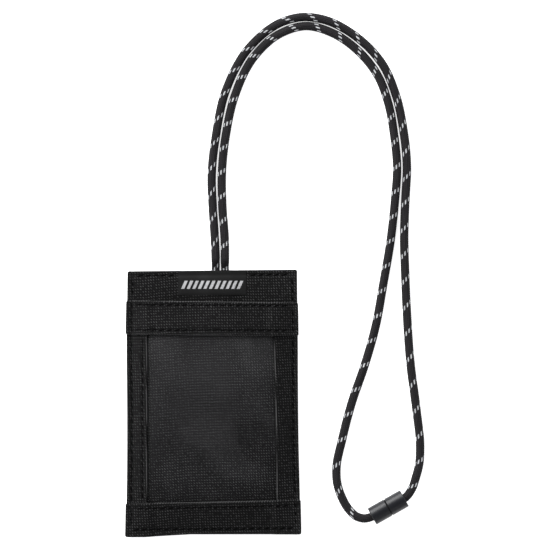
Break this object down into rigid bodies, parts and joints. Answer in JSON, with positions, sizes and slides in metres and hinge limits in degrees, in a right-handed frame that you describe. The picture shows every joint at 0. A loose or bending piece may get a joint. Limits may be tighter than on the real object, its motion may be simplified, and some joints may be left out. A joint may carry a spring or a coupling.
{
  "type": "neck pouch wallet",
  "caption": "Flat sewn nylon neck pouch with a framed clear card window, an open top pocket, and a knitted neck cord closed by a breakaway barrel.",
  "frame": {"origin": "middle of the pouch's back, on the surface that the pouch lies on; the cord and its barrel are left out of it", "axes": "+Y up the pouch, towards the pocket's mouth and the cord; +Z out of the window; +X to the right, seen from the window side"},
  "size_m": [0.1556, 0.2727, 0.0109],
  "materials": {
    "nylon_weave": "matt black woven nylon with small raised dots",
    "clear_vinyl": "clear soft vinyl film with a dull sheen",
    "label_rubber": "smooth satin black",
    "sewing_thread": "black twisted thread with a slight sheen",
    "cord_knit": "matt charcoal knitted cord with light reflective tracer stitches",
    "barrel_plastic": "satin dark moulded plastic"
  },
  "bodies": {
    "pouch": {"rear_panel": "nylon_weave", "inner_panel": "nylon_weave", "pocket_panel": "nylon_weave", "window_film": "clear_vinyl", "top_band": "nylon_weave", "left_strip": "nylon_weave", "right_strip": "nylon_weave", "bottom_band": "nylon_weave", "label_patch": "label_rubber", "cord_fold": "cord_knit", "cord_outer": "cord_knit", "cord_inner": "cord_knit", "socket_shell": "barrel_plastic", "socket_bead": "cord_knit", "hem_thread_left": "sewing_thread", "hem_thread_right": "sewing_thread", "side_thread_left": "sewing_thread", "side_thread_right": "sewing_thread", "top_band_thread_upper": "sewing_thread", "top_band_thread_lower": "sewing_thread", "bottom_band_thread_upper": "sewing_thread", "bottom_band_thread_lower": "sewing_thread", "strip_thread": "sewing_thread"},
    "plug": {"plug_shell": "barrel_plastic", "plug_bead": "cord_knit"}
  },
  "joints": [
    {"name": "plug_release", "type": "slide", "parent": "pouch", "child": "plug", "axis": [0.8704, 0.4924, 0], "range_m": [0, 0.008], "deforming": ["cord_outer"]}
  ]
}
